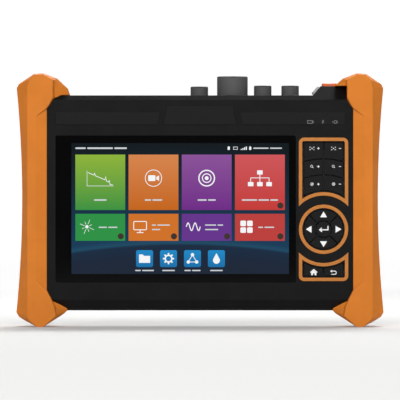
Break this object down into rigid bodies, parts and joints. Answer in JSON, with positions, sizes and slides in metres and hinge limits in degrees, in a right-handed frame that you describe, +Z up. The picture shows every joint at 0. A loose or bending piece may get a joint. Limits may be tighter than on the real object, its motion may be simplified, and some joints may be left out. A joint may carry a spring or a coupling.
{
  "type": "handheld optical time domain reflectometer",
  "caption": "Flat black handheld fibre tester with rubber side bumpers, touch screen, keypad, capped ports, torch and power button on top, and a tilt stand behind.",
  "frame": {"origin": "on the surface the bumpers stand on, under the middle of the object", "axes": "+X to the right as seen by the person in front of the screen, +Y away from that person into the back, +Z up"},
  "size_m": [0.264, 0.048, 0.1824],
  "materials": {
    "bumper_rubber": "matt moulded rubber, orange",
    "housing_plastic": "fine satin moulded plastic, black",
    "seal_rubber": "soft black rubber cord",
    "touch_glass": "black-printed cover glass",
    "display": "lit liquid crystal panel",
    "trim_plastic": "satin orange inlay",
    "key_plastic": "satin black key caps",
    "port_metal": "turned nickel-plated brass",
    "cap_rubber": "smooth black rubber",
    "button_plastic": "glossy red-orange",
    "lens_plastic": "clear polycarbonate",
    "light_plastic": "smoked light pipe",
    "board": "green circuit board with solder mask",
    "silicone": "grey silicone",
    "steel": "plain steel",
    "screw_steel": "blackened steel",
    "aluminium": "bare aluminium housing",
    "battery_wrap": "dark shrink wrap",
    "socket_plastic": "black glass-filled plastic",
    "lamp": "LED package"
  },
  "bodies": {
    "housing": {"front_housing": "housing_plastic", "rear_housing": "housing_plastic", "housing_seal": "seal_rubber", "left_bumper": "bumper_rubber", "right_bumper": "bumper_rubber", "touch_glass": "touch_glass", "display_panel": "display", "display_tray": "steel", "upper_trim": "trim_plastic", "lower_trim": "trim_plastic", "ring_trim": "trim_plastic", "keypad_mat": "silicone", "keypad_board": "board", "dome_switches": "steel", "laser_port": "port_metal", "power_meter_port": "port_metal", "test_port_1": "port_metal", "test_port_2": "port_metal", "torch_lens": "lens_plastic", "torch_led": "lamp", "power_switch": "board", "indicator_windows": "light_plastic", "stand_pins": "steel", "battery_door": "housing_plastic", "battery_pack": "battery_wrap", "battery_door_screws": "screw_steel", "housing_screws": "screw_steel", "network_socket": "socket_plastic", "charge_socket": "steel", "main_board": "board", "board_standoffs": "steel", "processor_shield": "steel", "optical_module": "aluminium", "fault_laser": "steel", "speaker": "steel"},
    "iris_plus_key": {"iris_plus_key": "key_plastic"},
    "iris_minus_key": {"iris_minus_key": "key_plastic"},
    "zoom_plus_key": {"zoom_plus_key": "key_plastic"},
    "zoom_minus_key": {"zoom_minus_key": "key_plastic"},
    "focus_plus_key": {"focus_plus_key": "key_plastic"},
    "focus_minus_key": {"focus_minus_key": "key_plastic"},
    "home_key": {"home_key": "key_plastic"},
    "back_key": {"back_key": "key_plastic"},
    "right_key": {"right_key": "key_plastic"},
    "down_key": {"down_key": "key_plastic"},
    "left_key": {"left_key": "key_plastic"},
    "up_key": {"up_key": "key_plastic"},
    "enter_key": {"enter_key": "key_plastic"},
    "power_button": {"power_button": "button_plastic"},
    "laser_port_cap": {"laser_port_cap": "cap_rubber"},
    "power_meter_port_cap": {"power_meter_port_cap": "cap_rubber"},
    "test_port_1_cap": {"test_port_1_cap": "cap_rubber"},
    "test_port_2_cap": {"test_port_2_cap": "cap_rubber"},
    "stand": {"tilt_stand": "housing_plastic", "stand_foot": "seal_rubber"}
  },
  "joints": [
    {"name": "iris_plus_key_press", "type": "slide", "parent": "housing", "child": "iris_plus_key", "axis": [0, 1, 0], "range_m": [0, 0.0005], "stiffness_N_per_m": 1500},
    {"name": "iris_minus_key_press", "type": "slide", "parent": "housing", "child": "iris_minus_key", "axis": [0, 1, 0], "range_m": [0, 0.0005], "stiffness_N_per_m": 1500},
    {"name": "zoom_plus_key_press", "type": "slide", "parent": "housing", "child": "zoom_plus_key", "axis": [0, 1, 0], "range_m": [0, 0.0005], "stiffness_N_per_m": 1500},
    {"name": "zoom_minus_key_press", "type": "slide", "parent": "housing", "child": "zoom_minus_key", "axis": [0, 1, 0], "range_m": [0, 0.0005], "stiffness_N_per_m": 1500},
    {"name": "focus_plus_key_press", "type": "slide", "parent": "housing", "child": "focus_plus_key", "axis": [0, 1, 0], "range_m": [0, 0.0005], "stiffness_N_per_m": 1500},
    {"name": "focus_minus_key_press", "type": "slide", "parent": "housing", "child": "focus_minus_key", "axis": [0, 1, 0], "range_m": [0, 0.0005], "stiffness_N_per_m": 1500},
    {"name": "home_key_press", "type": "slide", "parent": "housing", "child": "home_key", "axis": [0, 1, 0], "range_m": [0, 0.0005], "stiffness_N_per_m": 1500},
    {"name": "back_key_press", "type": "slide", "parent": "housing", "child": "back_key", "axis": [0, 1, 0], "range_m": [0, 0.0005], "stiffness_N_per_m": 1500},
    {"name": "right_key_press", "type": "slide", "parent": "housing", "child": "right_key", "axis": [0, 1, 0], "range_m": [0, 0.0005], "stiffness_N_per_m": 1500},
    {"name": "down_key_press", "type": "slide", "parent": "housing", "child": "down_key", "axis": [0, 1, 0], "range_m": [0, 0.0005], "stiffness_N_per_m": 1500},
    {"name": "left_key_press", "type": "slide", "parent": "housing", "child": "left_key", "axis": [0, 1, 0], "range_m": [0, 0.0005], "stiffness_N_per_m": 1500},
    {"name": "up_key_press", "type": "slide", "parent": "housing", "child": "up_key", "axis": [0, 1, 0], "range_m": [0, 0.0005], "stiffness_N_per_m": 1500},
    {"name": "enter_key_press", "type": "slide", "parent": "housing", "child": "enter_key", "axis": [0, 1, 0], "range_m": [0, 0.0005], "stiffness_N_per_m": 1500},
    {"name": "power_button_press", "type": "slide", "parent": "housing", "child": "power_button", "axis": [0, 0, -1], "range_m": [0, 0.0008], "stiffness_N_per_m": 1500},
    {"name": "laser_port_cap_pull", "type": "slide", "parent": "housing", "child": "laser_port_cap", "axis": [0, 0, 1], "range_m": [0, 0.02]},
    {"name": "power_meter_port_cap_pull", "type": "slide", "parent": "housing", "child": "power_meter_port_cap", "axis": [0, 0, 1], "range_m": [0, 0.025]},
    {"name": "test_port_1_cap_pull", "type": "slide", "parent": "housing", "child": "test_port_1_cap", "axis": [0, 0, 1], "range_m": [0, 0.02]},
    {"name": "test_port_2_cap_pull", "type": "slide", "parent": "housing", "child": "test_port_2_cap", "axis": [0, 0, 1], "range_m": [0, 0.02]},
    {"name": "stand_hinge", "type": "hinge", "parent": "housing", "child": "stand", "pos_m": [0, 0.018, 0.118], "axis": [1, 0, 0], "range_deg": [0, 55]}
  ]
}
